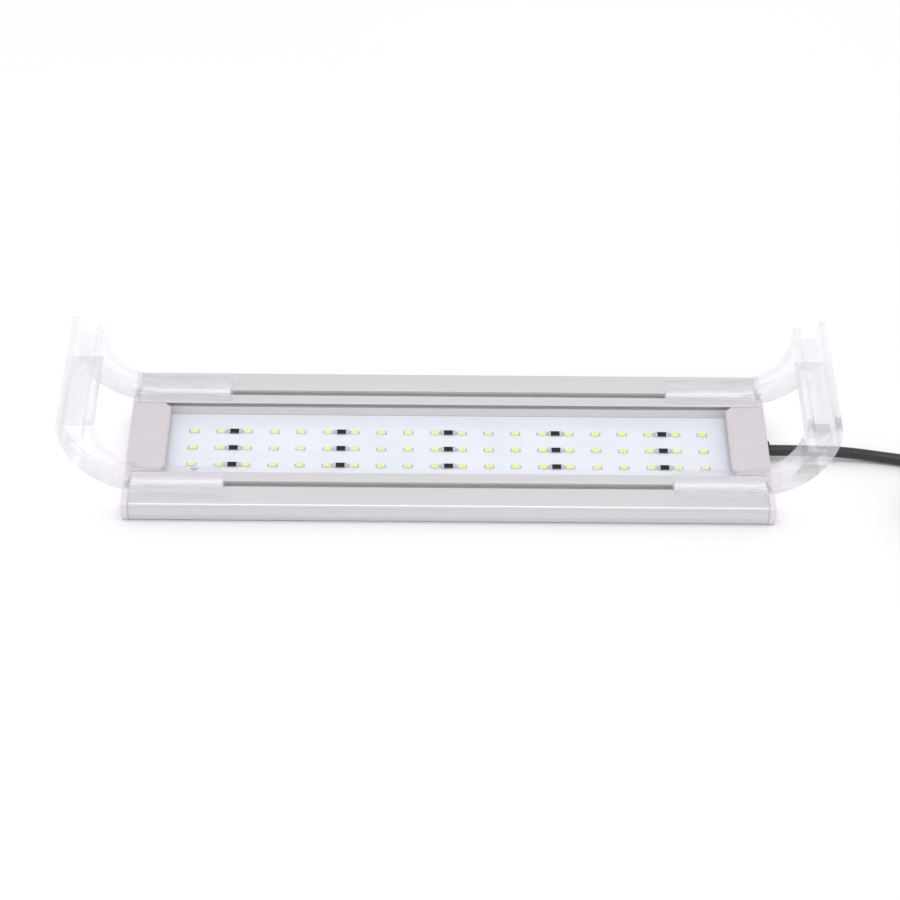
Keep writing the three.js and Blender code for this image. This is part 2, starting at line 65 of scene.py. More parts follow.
def make_camera():
    elevation, yaw = math.radians(CAMERA["elevation"]), math.radians(CAMERA["yaw"])
    level = math.cos(elevation)
    back = Vector((math.sin(yaw) * level, -math.cos(yaw) * level, math.sin(elevation)))
    data = bpy.data.cameras.new("camera")
    data.lens, data.sensor_width = CAMERA["lens"], CAMERA["sensor"]
    data.shift_x, data.shift_y = CAMERA["shift"]
    data.clip_start, data.clip_end = 0.05, 30.0
    camera = bpy.data.objects.new("camera", data)
    camera.location = Vector((0, 0, CAMERA["target_z"])) + back * CAMERA["distance"]
    camera.rotation_mode = "QUATERNION"
    roll = Quaternion((0, 0, 1), math.radians(CAMERA["roll"]))
    camera.rotation_quaternion = (-back).to_track_quat("-Z", "Y") @ roll
    bpy.context.scene.collection.objects.link(camera)
    bpy.context.scene.camera = camera
    bpy.context.view_layer.update()


make_camera()


# ---- Materials ----------------------------------------------------------------------------------------


def linear(r, g, b):
    """A colour given as 8-bit sRGB, as the linear colour that a shader takes."""
    def one(v):
        v /= 255
        return v / 12.92 if v <= 0.04045 else ((v + 0.055) / 1.055) ** 2.4
    return one(r), one(g), one(b), 1.0


class Shader:
    """A Principled material whose colour, roughness and bump come from procedural textures."""

    def __init__(self, name, **sockets):
        self.material = bpy.data.materials.new(name)
        self.material.use_nodes = True
        self.tree = self.material.node_tree
        self.principled = self.tree.nodes["Principled BSDF"]
        self.output = self.tree.nodes["Material Output"]
        for socket, value in sockets.items():
            self.principled.inputs[socket.replace("_", " ")].default_value = value
        self.coordinates = self.tree.nodes.new("ShaderNodeTexCoord").outputs["Object"]
        self.normal = None

    def node(self, kind, **values):
        node = self.tree.nodes.new("ShaderNode" + kind)
        for key, value in values.items():
            setattr(node, key, value)
        return node

    def link(self, source, target):
        self.tree.links.new(source, target)

    def noise(self, per_mm, detail=3.0, roughness=0.55, offset=0.0):
        """Noise with this many features a millimetre along X, Y and Z."""
        mapping = self.node("Mapping")
        mapping.inputs["Scale"].default_value = [s / MM for s in per_mm]
        mapping.inputs["Location"].default_value = (offset, offset * 0.7, offset * 1.3)
        noise = self.node("TexNoise")
        noise.inputs["Scale"].default_value = 1.0
        noise.inputs["Detail"].default_value = detail
        noise.inputs["Roughness"].default_value = roughness
        self.link(self.coordinates, mapping.inputs["Vector"])
        self.link(mapping.outputs["Vector"], noise.inputs["Vector"])
        return noise.outputs["Fac"]

    def colour(self, factor, low, high, start=0.3, end=0.7):
        ramp = self.node("ValToRGB")
        ramp.color_ramp.elements[0].position, ramp.color_ramp.elements[0].color = start, low
        ramp.color_ramp.elements[1].position, ramp.color_ramp.elements[1].color = end, high
        self.link(factor, ramp.inputs["Fac"])
        self.link(ramp.outputs["Color"], self.principled.inputs["Base Color"])
        return self

    def rough(self, factor, low, high):
        spread = self.node("MapRange")
        for socket, value in (("From Min", 0.3), ("From Max", 0.7), ("To Min", low), ("To Max", high)):
            spread.inputs[socket].default_value = value
        self.link(factor, spread.inputs["Value"])
        self.link(spread.outputs["Result"], self.principled.inputs["Roughness"])
        return self

    def bump(self, height, depth_mm, strength=1.0):
        bump = self.node("Bump")
        bump.inputs["Distance"].default_value = depth_mm * MM
        bump.inputs["Strength"].default_value = strength
        self.link(height, bump.inputs["Height"])
        if self.normal is not None:
            self.link(self.normal, bump.inputs["Normal"])
        self.normal = bump.outputs["Normal"]
        self.link(self.normal, self.principled.inputs["Normal"])
        return self


def anodised_aluminium(name, low, high, metallic, rough):
    """Extruded aluminium: drawing streaks along X and the fine grain of its anodising."""
    s = Shader(name, Metallic=metallic)
    streaks = s.noise((0.012, 6.0, 6.0), detail=4)
    grain = s.noise((4.0, 9.0, 9.0), detail=2, offset=7)
    s.colour(streaks, linear(*low), linear(*high)).rough(grain, *rough)
    return s.bump(streaks, 0.004).bump(grain, 0.003).material


def cap_paint(name, low, high):
    s = Shader(name, Specular_IOR_Level=0.35)
    speckle = s.noise((3.2, 3.2, 3.2), detail=4, roughness=0.65)
    broad = s.noise((0.08, 0.08, 0.08), offset=3)
    s.colour(speckle, linear(*low), linear(*high)).rough(broad, 0.5, 0.62)
    return s.bump(speckle, 0.03).material


def matte(name, low, high, rough, per_mm=2.0, depth=0.02, stretch=(1, 1, 1), **sockets):
    """Moulded plastic or rubber: fine grain, and slow changes of gloss."""
    s = Shader(name, **sockets)
    grain = s.noise([per_mm * k for k in stretch], detail=4)
    broad = s.noise((0.15, 0.15, 0.15), offset=5)
    s.colour(grain, linear(*low), linear(*high)).rough(broad, *rough)
    return s.bump(grain, depth).material


def turned_metal(name, low, high, rough, stretch, metallic=1.0):
    s = Shader(name, Metallic=metallic)
    rings = s.noise([3.0 * k for k in stretch], detail=3)
    s.colour(rings, linear(*low), linear(*high)).rough(rings, *rough)
    return s.bump(rings, 0.006).material


def solder_mask(name, low, high):
    s = Shader(name, Specular_IOR_Level=0.45, Coat_Weight=0.25, Coat_Roughness=0.12)
    weave = s.noise((0.9, 0.9, 0.9), detail=3)
    broad = s.noise((0.03, 0.03, 0.03), offset=2)
    s.colour(broad, linear(*low), linear(*high)).rough(weave, 0.28, 0.42)
    return s.bump(weave, 0.006).material


def phosphor():
    s = Shader("led_phosphor", Specular_IOR_Level=0.5, Subsurface_Weight=0.25, Subsurface_Scale=0.0006)
    grains = s.noise((9.0, 9.0, 9.0), detail=3, roughness=0.7)
    s.colour(grains, linear(220, 235, 154), linear(233, 245, 182)).rough(grains, 0.3, 0.46)
    return s.bump(grains, 0.02).material


def clear_plastic(name, haze, unbent, rough):
    """Moulded acrylic. A share of the light passes unbent, and all light towards a lamp, so that
    the shadows are pale; haze is the share of the rest that the surface scatters."""
    s = Shader(name, Transmission_Weight=1.0 - haze, IOR=1.3)
    flow = s.noise((0.05, 0.09, 0.05), detail=2)
    fine = s.noise((0.6, 0.6, 0.6), detail=3, offset=4)
    s.colour(flow, linear(252, 251, 252), linear(254, 254, 254)).rough(fine, *rough)
    s.bump(flow, 0.003)
    straight = s.node("BsdfTransparent")
    straight.inputs["Color"].default_value = linear(252, 252, 253)
    path = s.node("LightPath")
    share = s.node("MapRange")  # what passes straight: a share, or everything on a shadow ray
    share.inputs["To Min"].default_value, share.inputs["To Max"].default_value = unbent, 1.0
    mix = s.node("MixShader")
    s.link(path.outputs["Is Shadow Ray"], share.inputs["Value"])
    s.link(share.outputs["Result"], mix.inputs[0])
    s.link(s.principled.outputs["BSDF"], mix.inputs[1])
    s.link(straight.outputs["BSDF"], mix.inputs[2])
    s.link(mix.outputs["Shader"], s.output.inputs["Surface"])
    return s.material


ALUMINIUM = anodised_aluminium("anodised_aluminium", (212, 211, 213), (220, 219, 222), 0.45, (0.3, 0.44))
# Painted light: the same aluminium, rougher, but lighter and less metallic, for the shaded T-slots and recess
# walls, so that they read brighter than their shade.
PAINTED_FILL_ALUMINIUM = anodised_aluminium("aluminium_painted_fill", (222, 220, 221), (230, 228, 229), 0.1, (0.45, 0.55))
CAP_GREY = cap_paint("cap_grey", (204, 197, 203), (215, 208, 214))
# Painted light: a paler copy of the cap grey, for the cap's faces outside the T-slots, where the light falls
# brighter.
CAP_PAINTED_LIGHT = cap_paint("cap_grey_painted_light", (223, 217, 223), (232, 227, 232))
SEAL_RUBBER = matte("seal_rubber", (22, 22, 23), (38, 38, 40), (0.6, 0.8))
SILICONE = matte("seal_silicone", (196, 192, 196), (206, 202, 206), (0.55, 0.7))
STEEL = turned_metal("screw_steel", (176, 178, 182), (206, 207, 210), (0.22, 0.36), (0.3, 2, 2))
HEAT_PAD = matte("heat_pad", (142, 150, 160), (160, 167, 176), (0.75, 0.9), depth=0.01)
BOARD_WHITE = solder_mask("board_white", (226, 230, 239), (232, 236, 244))
COPPER_UNDER_MASK = solder_mask("copper_under_mask", (228, 232, 241), (233, 237, 246))
LED_FRAME = matte("led_frame", (234, 240, 208), (243, 248, 222), (0.3, 0.4), depth=0.005)
PHOSPHOR = phosphor()
TIN = turned_metal("tinned_solder", (196, 199, 205), (222, 225, 230), (0.3, 0.5), (1, 1, 1), metallic=0.6)
RESISTOR_BLACK = matte("resistor_black", (14, 15, 18), (25, 26, 31), (0.35, 0.5), per_mm=6, depth=0.01,
                       Specular_IOR_Level=0.3)
CERAMIC = matte("resistor_ceramic", (92, 92, 94), (112, 111, 112), (0.45, 0.6), depth=0.01)
INK = matte("inspection_ink", (0, 94, 154), (10, 118, 178), (0.45, 0.6), depth=0.004)
WIRE_RED = matte("wire_red", (168, 30, 26), (190, 44, 36), (0.35, 0.5))
LEAD_BLACK = matte("lead_black", (38, 38, 40), (53, 53, 56), (0.34, 0.5), per_mm=1.2, depth=0.015,
                   Specular_IOR_Level=0.45)
CLEAR = clear_plastic("clear_plastic", 0.0, 0.64, (0.0, 0.01))
# Painted light: the feet take a hazy, near-white copy of the clear plastic, so the T-slots seen through the
# arms read bright instead of in shade.
FOOT_PAINTED_FILL = clear_plastic("clear_plastic_painted_fill", 0.85, 0.0, (0.3, 0.5))
NICKEL = turned_metal("plug_nickel", (190, 188, 182), (214, 212, 206), (0.14, 0.26), (2, 0.4, 2))
INSULATOR = matte("insulator_yellow", (206, 168, 44), (224, 188, 66), (0.35, 0.5))


# ---- Meshes -------------------------------------------------------------------------------------------


def as_object(name, bm, materials, sharp=38):
    """A mesh written in millimetres becomes an object in metres, smooth but for its sharper edges."""
    bmesh.ops.recalc_face_normals(bm, faces=bm.faces)
    bmesh.ops.scale(bm, vec=(MM, MM, MM), verts=bm.verts)
    mesh = bpy.data.meshes.new(name)
    bm.to_mesh(mesh)
    bm.free()
    for material in materials:
        mesh.materials.append(material)
    mesh.shade_smooth()
    mesh.set_sharp_from_angle(angle=math.radians(sharp))
    obj = bpy.data.objects.new(name, mesh)
    bpy.context.scene.collection.objects.link(obj)
    return obj


def prism(bm, outline, axis, low, high, material=0):
    """A closed outline pushed along an axis: (y, z) along X, (x, z) along Y, or (x, y) along Z."""
    place = {"X": lambda a, b, t: (t, a, b),
             "Y": lambda a, b, t: (a, t, b),
             "Z": lambda a, b, t: (a, b, t)}[axis]
    ends = [[bm.verts.new(place(a, b, t)) for a, b in outline] for t in (low, high)]
    count = len(outline)
    faces = [bm.faces.new((ends[0][i], ends[0][(i + 1) % count], ends[1][(i + 1) % count], ends[1][i]))
             for i in range(count)]
    faces += [bm.faces.new(ends[0]), bm.faces.new(ends[1])]
    for face in faces:
        face.material_index = material
    return faces


def loft(bm, levels, materials=()):
    """A closed solid through outlines at given heights. The materials are those of its sides, from the
    bottom up; its two ends take the first and the last."""
    rings = [[bm.verts.new((a, b, z)) for a, b in outline] for outline, z in levels]
    count = len(rings[0])
    for level, (one, two) in enumerate(zip(rings, rings[1:])):
        for k in range(count):
            n = (k + 1) % count
            face = bm.faces.new((one[k], one[n], two[n], two[k]))
            face.material_index = materials[level] if materials else 0
    bm.faces.new(rings[0]).material_index = materials[0] if materials else 0
    bm.faces.new(rings[-1]).material_index = materials[-1] if materials else 0


def rounded(points, steps=5):
    """An outline whose corners are rounded: the points are (a, b, radius), with 0 for a sharp corner."""
    outline = []
    count = len(points)
    for i, (a, b, radius) in enumerate(points):
        corner = Vector((a, b))
        if radius <= 0:
            outline.append((a, b))
            continue
        before = (Vector(points[i - 1][:2]) - corner).normalized()
        after = (Vector(points[(i + 1) % count][:2]) - corner).normalized()
        half = before.angle(after) / 2
        start, end = corner + before * (radius / math.tan(half)), corner + after * (radius / math.tan(half))
        centre = corner + (before + after).normalized() * (radius / math.sin(half))
        u, v = start - centre, end - centre
        turn = u.angle_signed(v)
        for k in range(steps + 1):
            cos, sin = math.cos(-turn * k / steps), math.sin(-turn * k / steps)
            outline.append(tuple(centre + Vector((u.x * cos - u.y * sin, u.x * sin + u.y * cos))))
    return outline


def rectangle(a0, b0, a1, b1, radius):
    return rounded([(a0, b0, radius), (a1, b0, radius), (a1, b1, radius), (a0, b1, radius)])


def arc(centre, radius, start, end, steps):
    """Points on an arc, from one angle to another in degrees."""
    angles = [math.radians(start + (end - start) * k / steps) for k in range(steps + 1)]
    return [(centre[0] + radius * math.cos(a), centre[1] + radius * math.sin(a)) for a in angles]


def lathe(bm, profile, sides, axis, at=(0, 0, 0), material=0):
    """A round piece about X, or about -Y, from a profile of (along, radius). An end on the axis is closed."""
    rings = []
    for along, radius in profile:
        ring = []
        for k in range(1 if radius == 0 else sides):
            angle = 2 * math.pi * k / sides
            a, b = radius * math.cos(angle), radius * math.sin(angle)
            point = (along, a, b) if axis == "X" else (a, -along, b)
            ring.append(bm.verts.new([p + q for p, q in zip(point, at)]))
        rings.append(ring)
    for one, two in zip(rings, rings[1:]):
        for k in range(sides):
            n = (k + 1) % sides
            corners = [one[k % len(one)], two[k % len(two)], two[n % len(two)], one[n % len(one)]]
            unique = list(dict.fromkeys(corners))
            if len(unique) > 2:
                bm.faces.new(unique).material_index = material
    return rings


def settle(obj):
    """Replaces the object's mesh by what its modifiers make of it."""
    graph = bpy.context.evaluated_depsgraph_get()
    made = bpy.data.meshes.new_from_object(obj.evaluated_get(graph))
    obj.modifiers.clear()
    old, obj.data = obj.data, made
    made.name = obj.name
    bpy.data.meshes.remove(old)
    return obj


def join_or_cut(obj, others, operation):
    """Joins to the object, or cuts from it, meshes that are then removed."""
    for other in others:
        modifier = obj.modifiers.new("boolean", "BOOLEAN")
        modifier.operation, modifier.object, modifier.solver = operation, other, "EXACT"
    settle(obj)
    for other in others:
        bpy.data.objects.remove(other)
    return obj


def tool(*shapes):
    """A throwaway solid for a join or a cut, from functions that draw into a mesh."""
    bm = bmesh.new()
    for shape in shapes:
        shape(bm)
    return as_object("tool", bm, [])


def soften(obj, width, segments=2, angle=30, weld=False):
    """Small rounds along the object's edges, with even shading of its flat faces."""
    if weld:
        obj.modifiers.new("weld", "WELD").merge_threshold = 0.000002
    bevel = obj.modifiers.new("edges", "BEVEL")
    bevel.width, bevel.segments, bevel.limit_method = width * MM, segments, "ANGLE"
    bevel.angle_limit, bevel.miter_outer = math.radians(angle), "MITER_ARC"
    bevel.harden_normals = True
    return obj


def relabel(obj, name, *materials):
    """A solid made by joins and cuts gets its own name and materials."""
    obj.name = name
    obj.data.materials.clear()
    for material in materials:
        obj.data.materials.append(material)
    return obj


def finish_piece(obj, body, slot, *nodes):
    """The piece rides on a body and stands for CAD nodes, which it hides; the slot is not used."""
    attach(obj, body)
    if nodes:
        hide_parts(*nodes)
    return obj


def dress(node, material, width=0.0):
    """A CAD node that stays gets its material, and small rounds where its edges show."""
    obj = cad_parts[node]
    obj.data.materials.clear()
    obj.data.materials.append(material)
    if width:
        soften(obj, width, weld=True)


# ---- Power lead ---------------------------------------------------------------------------------------

LEAD = 5.2
COIL_CENTRE = (252.0, -44.0)
COIL_OUTER = 36.8  # radius of the outermost turns
COIL_LOW = 3.4  # height of the lower layer's middle
COIL_TURNS = 7.25
RUN_TO_COIL = (241, -7.2, COIL_LOW)
COIL_TO_TAIL = (288.8, -54, COIL_LOW + LEAD - 0.15)
# The lead's middle, from the grommet to the coil, and from the coil to the plug.
LEAD_ROUTE = [(149.3, 0, 5.4), (156, 0, 5.4), (164, 0, 5.3), (173, 0.1, 5), (182, 0.2, 4.5), (191, 0, 3.6),
              (199, -0.7, 2.9), (207, -2.1, 2.7), (215, -3.8, 2.8), (223, -5.3, 3.1), (231.4, -7.4, 3.4)]
TAIL_ROUTE = [(288.8, -64.6, 7.4), (288.8, -70, 6.3), (288.8, -75.5, 5.3), (288.8, -80.7, 4.8)]


def ease(t):
    return (1 - math.cos(math.pi * min(1.0, max(0.0, t)))) / 2


def coil_point(angle):
    """The lead's middle after this angle round the coil: turns inward, a step up, and back out on them."""
    radius, height = COIL_OUTER, COIL_LOW
    for turn in range(3):
        radius -= LEAD * ease((angle - turn * 360 - 240) / 120)
    height += LEAD * ease((angle - 3 * 360 - 200) / 100)
    for turn in range(4, 7):
        radius += LEAD * ease((angle - turn * 360 - 90) / 110)
    at = math.radians(90 - angle)
    return COIL_CENTRE[0] + radius * math.cos(at), COIL_CENTRE[1] + radius * math.sin(at), height


def smooth_path(points, step):
    """A Catmull-Rom curve through the points, about one point every step."""
    points = [Vector(p) for p in points]
    points = [2 * points[0] - points[1], *points, 2 * points[-1] - points[-2]]
    path = []
    for p0, p1, p2, p3 in zip(points, points[1:], points[2:], points[3:]):
        parts = max(1, round((p2 - p1).length / step))
        for k in range(parts):
            t = k / parts
            path.append(0.5 * (2 * p1 + (p2 - p0) * t + (2 * p0 - 5 * p1 + 4 * p2 - p3) * t ** 2
                               + (3 * p1 - p0 - 3 * p2 + p3) * t ** 3))
    return [*path, points[-2]]


def round_tube(bm, path, diameter, sides):
    """A tube along a path, with closed ends, whose section doesn't twist."""
    normal = Vector((0, 0, 1))
    rings = []
    for i, point in enumerate(path):
        along = (path[min(i + 1, len(path) - 1)] - path[max(i - 1, 0)]).normalized()
        normal = (normal - along * normal.dot(along)).normalized()
        across = along.cross(normal)
        rings.append([bm.verts.new(point + diameter / 2 * (normal * math.cos(a) + across * math.sin(a)))
                      for a in (2 * math.pi * k / sides for k in range(sides))])
    for one, two in zip(rings, rings[1:]):
        for k in range(sides):
            bm.faces.new((one[k], one[(k + 1) % sides], two[(k + 1) % sides], two[k]))
    bm.faces.new(rings[0])
    bm.faces.new(rings[-1])


def lead_path():
    cap_inner = box_mm("cable_grommet")[0][0]
    steps = round(COIL_TURNS * 24)
    wound = [coil_point(COIL_TURNS * 360 * k / steps) for k in range(steps + 1)]
    run = [(cap_inner + 0.2, 0, LEAD_ROUTE[0][2]), *LEAD_ROUTE, RUN_TO_COIL, *wound]
    return smooth_path([*run, COIL_TO_TAIL, *TAIL_ROUTE], 2.4)


def power_lead():
    path = lead_path()
    bm = bmesh.new()
    round_tube(bm, path, LEAD, 20)
    lead = as_object("power_lead_cord", bm, [LEAD_BLACK])
    finish_piece(lead, "lamp", "lead_black", "power_lead", "power_lead_coil", "power_lead_tail")
    return lead, path


def plug_pieces():
    """The plug at the end: a grip with ribs, a nickel barrel, and the insulator inside it."""
    low, high = box_mm("plug_overmould")
    at = ((low[0] + high[0]) / 2, high[1], (low[2] + high[2]) / 2)
    length = high[1] - low[1]
    profile = [(0, 0), (0, 2.9), (0.15, 3.15), (0.5, 3.3)]
    for rib in range(4):  # the flexible neck
        start = 1.4 + rib * 2.1
        profile += [(start, 3.35), (start + 0.15, 2.85), (start + 0.75, 2.85), (start + 0.9, 3.4)]
    profile += [(10.2, 3.6), (11.6, 4.15), (12.6, 4.62), (13.4, 4.78), (14.4, 4.8)]
    for rib in range(6):  # the grip
        start = 16.0 + rib * 1.9
        profile += [(start, 4.8), (start + 0.2, 4.45), (start + 0.8, 4.45), (start + 1.0, 4.8)]
    profile += [(length - 1.3, 4.8), (length - 0.5, 4.55), (length - 0.1, 4.1), (length, 3.8), (length, 0)]
    bm = bmesh.new()
    lathe(bm, profile, 48, "-Y", at)
    grip = as_object("plug_grip", bm, [LEAD_BLACK])
    finish_piece(grip, "lamp", "lead_black", "plug_overmould")

    low, high = box_mm("plug_barrel")
    long = high[1] - low[1]
    bm = bmesh.new()
    lathe(bm, [(0, 0), (0, 2.75), (1.0, 2.75), (1.1, 2.68), (1.6, 2.68), (1.7, 2.75), (long - 0.35, 2.75),
               (long - 0.1, 2.66), (long, 2.5), (long, 1.62), (long - 0.2, 1.55), (1.5, 1.55), (1.5, 0)],
          48, "-Y", (at[0], high[1], at[2]))
    barrel = as_object("plug_contact", bm, [NICKEL])
    finish_piece(barrel, "lamp", "plug_nickel", "plug_barrel")

    low, high = box_mm("plug_insulator")
    long = high[1] - low[1]
    bm = bmesh.new()
    lathe(bm, [(0, 0), (0, 1.3), (long - 0.2, 1.35), (long, 1.15), (long, 0.85), (long - 0.15, 0.7),
               (1, 0.7), (1, 0)], 32, "-Y", (at[0], high[1], at[2]))
    sleeve = as_object("plug_sleeve", bm, [INSULATOR])
    finish_piece(sleeve, "lamp", "insulator_yellow", "plug_insulator")
    return [grip, barrel, sleeve]


TIE = {"half_x": 10.7, "half_z": 5.5, "band": 0.5, "width": 5.0, "angle": 300, "from_centre": 29}


def lead_tie():
    """A flat band round the bundle of turns."""
    low, high = box_mm("lead_tie")
    half_x, half_z, band, width = TIE["half_x"], TIE["half_z"], TIE["band"], TIE["width"]
    angle, reach = math.radians(TIE["angle"]), TIE["from_centre"]
    middle = Vector((COIL_CENTRE[0] + reach * math.cos(angle), COIL_CENTRE[1] + reach * math.sin(angle),
                     (low[2] + high[2]) / 2))
    outer = rectangle(-half_x - band, -half_z - band, half_x + band, half_z + band, 1.7)
    inner = rectangle(-half_x, -half_z, half_x, half_z, 1.2)
    bm = bmesh.new()
    rings = [[bm.verts.new((a, t, b)) for a, b in outline]
             for t in (-width / 2, width / 2) for outline in (outer, inner)]
    count = len(outer)
    for k in range(count):
        n = (k + 1) % count
        for one, two in ((0, 2), (1, 3), (0, 1), (2, 3)):
            bm.faces.new((rings[one][k], rings[one][n], rings[two][n], rings[two][k]))
    placed = Matrix.Translation(middle) @ Euler((0, 0, angle)).to_matrix().to_4x4()
    bmesh.ops.transform(bm, verts=bm.verts, matrix=placed)
    tie = soften(as_object("lead_tie_band", bm, [SEAL_RUBBER]), 0.14)
    return finish_piece(tie, "lamp", "lead_black", "lead_tie")


def grommet():
    """The rubber grommet in the right cap, open along its axis for the lead."""
    low, high = box_mm("cable_grommet")
    length, rim, neck, bore = high[0] - low[0], (high[1] - low[1]) / 2, 3.3, 2.62
    face = length - 1.0
    bm = bmesh.new()
    sides = 48
    rings = lathe(bm, [(0, bore), (0, neck - 0.3), (0.3, neck), (face, neck), (face, rim - 0.15),
                       (face + 0.15, rim), (face + 0.55, rim), (face + 0.85, rim - 0.3), (length, rim - 0.75),
                       (length, bore + 0.35), (length - 0.2, bore + 0.08), (length - 0.6, bore)], sides, "X",
                  (low[0], 0, (low[2] + high[2]) / 2))
    for k in range(sides):
        n = (k + 1) % sides
        bm.faces.new((rings[-1][k], rings[0][k], rings[0][n], rings[-1][n]))
    piece = as_object("lead_grommet", bm, [SEAL_RUBBER])
    return finish_piece(piece, "lamp", "lead_black", "cable_grommet")


lead, lead_line = power_lead()
lead_fittings = [*plug_pieces(), lead_tie()]
grommet()


# ---- Housing ------------------------------------------------------------------------------------------

BAR_LOW, BAR_HIGH = box_mm("housing_extrusion")
END = box_mm("right_end_cap")[1][0]  # half the bar's length
HALF_WIDTH, HEIGHT = BAR_HIGH[1], BAR_HIGH[2]
SLOT = {"at": 33.0, "mouth": 1.9, "wide": 4.2, "bottom": 6.0, "lip": 1.4}
RECESS = {"half": 25.0, "floor": 1.9, "groove_top": 0.25, "groove_height": 2.3, "groove_depth": 2.5}
SCREW_AT, SCREW_HEIGHT, SCREW_HOLE = 42.6, 5.4, 1.7
CAP_PLATE = 2.6  # thickness of a cap's end plate


def flange(inset=0.0, bead=False):
    """The outer outline of one half, or inside it by the inset. With a bead, a fine groove runs below the
    upper edge of the long side."""
    edge, low, high = HALF_WIDTH - inset, inset, HEIGHT - inset
    points = [(edge - 2.4, low, 0.3), (edge - 1.6, low + 0.8, 0.4), (edge - (0.1 if bead else 0), 4.8, 0.8)]
    if bead:
        points += [(edge - 0.1, high - 2.25, 0.1), (edge - 0.35, high - 2.1, 0.08),
                   (edge - 0.35, high - 1.7, 0.08), (edge, high - 1.55, 0.12)]
    return [*points, (edge, high, 1.3)]


def slot_outline(extra=0.0, inset=0.0):
    """The T-slot of one half, wider by extra, and open at the top face or inside it by the inset."""
    mouth, wide, top = SLOT["mouth"] + extra, SLOT["wide"] + extra, HEIGHT - inset
    lip, bottom, at = HEIGHT - SLOT["lip"] + extra, SLOT["bottom"] - extra, SLOT["at"]
    one_side = [(mouth, top, 0.22), (mouth, lip, 0.15), (wide, lip, 0.2), (wide, bottom, 0.5)]
    other_side = [(-y, z, radius) for y, z, radius in reversed(one_side)]
    return [(at + y, z, radius) for y, z, radius in (*one_side, *other_side)]


def mirrored(half):
    """The rounded outline of both halves, from the points of the rear one."""
    return rounded([*half, *[(-y, z, r) for y, z, r in reversed(half)]])


def housing():
    """The extruded profile: flanges, T-slots, the recess with its splash grooves, and the ribbed back."""
    ribs = []
    for k in range(7):
        low = 11 + 5 * k - 1.2
        ribs += [(low, 0, 0.2), (low, 0.8, 0.2), (low + 2.4, 0.8, 0.2), (low + 2.4, 0, 0.2)]
    top = HEIGHT - RECESS["groove_top"]
    bottom = top - RECESS["groove_height"]
    half, deep = RECESS["half"], RECESS["half"] + RECESS["groove_depth"]
    section = mirrored([*ribs, *flange(bead=True), *slot_outline(), (half, HEIGHT, 0.2), (half, top, 0.1),
                        (deep, top, 0.3), (deep, bottom, 0.3), (half, bottom, 0.15),
                        (half, RECESS["floor"], 0.4)])
    bm = bmesh.new()
    faces = prism(bm, section, "X", BAR_LOW[0], BAR_HIGH[0])
    bmesh.ops.triangulate(bm, faces=faces[-2:])
    for face in faces[:-2]:  # rougher, and painted lighter and less metallic, in the T-slots and on the recess's walls below the splash grooves: painted fill light in their shade
        middle = face.calc_center_median()
        y, z = abs(middle.y), middle.z
        in_slot = abs(y - SLOT["at"]) < SLOT["wide"] + 0.1 and SLOT["bottom"] - 0.1 < z < HEIGHT - 0.1
        on_wall = abs(y - half) < 0.1 and RECESS["floor"] < z < bottom - 0.2
        face.material_index = int(in_slot or on_wall)
    piece = as_object("housing_profile", bm, [ALUMINIUM, PAINTED_FILL_ALUMINIUM], sharp=28)
    return finish_piece(piece, "lamp", "anodised_aluminium", "housing_extrusion")


housing()
dress("thermal_pad", HEAT_PAD)


# ---- End caps and screws ------------------------------------------------------------------------------


def end_cap(side):
    """A moulded cap: the plate with its slots, the tongue over the recess's end, and the screws' seats."""
    sign = -1 if side == "left" else 1
    low, high = box_mm(f"{side}_end_cap")
    tongue_in, tongue_low, half = END - (high[0] - low[0]), HEIGHT - 2.1, RECESS["half"] - 0.3

    def x_span(a, b):
        return sorted((sign * a, sign * b))

    section = mirrored([*flange(), *slot_outline(0.15)])
    cap = tool(lambda bm: prism(bm, section, "X", *x_span(END - CAP_PLATE, END)))

    def plan(inset, corner=2.4):
        inner = tongue_in + inset
        points = [(inner + corner, -half), (END - 1, -half), (END - 1, half), (inner + corner, half),
                  (inner, half - corner), (inner, corner - half)]
        return [(sign * x, y) for x, y in points]

    tongue = [(plan(0), tongue_low), (plan(0), HEIGHT - 0.7), (plan(0.7), HEIGHT)]
    join_or_cut(cap, [tool(lambda bm: loft(bm, tongue))], "UNION")
    cutters = []
    for y in (-SCREW_AT, SCREW_AT):
        seat = [(END - CAP_PLATE - 1, 0), (END - CAP_PLATE - 1, SCREW_HOLE), (END - 1.6, SCREW_HOLE),
                (END - 0.1, 3.0), (END + 1, 3.0), (END + 1, 0)]
        seat = [(sign * x, radius) for x, radius in seat]
        cutters.append(tool(lambda bm: lathe(bm, seat, 48, "X", (0, y, SCREW_HEIGHT))))
    if side == "right":  # the grommet's hole
        hole = [(END - CAP_PLATE - 1, 0), (END - CAP_PLATE - 1, 3.45), (END + 1, 3.45), (END + 1, 0)]
        cutters.append(tool(lambda bm: lathe(bm, hole, 48, "X", (0, 0, SCREW_HEIGHT))))
    join_or_cut(cap, cutters, "DIFFERENCE")
    relabel(cap, f"{side}_cap_moulding", CAP_GREY, CAP_PAINTED_LIGHT)
    for polygon in cap.data.polygons:  # painted light: the faces outside the T-slots take a paler copy of the grey, where the light falls brighter
        polygon.material_index = int(abs(polygon.center.y) > (SLOT["at"] + SLOT["mouth"]) * MM)
    soften(cap, 0.28, segments=3)
    return finish_piece(cap, "lamp", "cap_grey", f"{side}_end_cap")


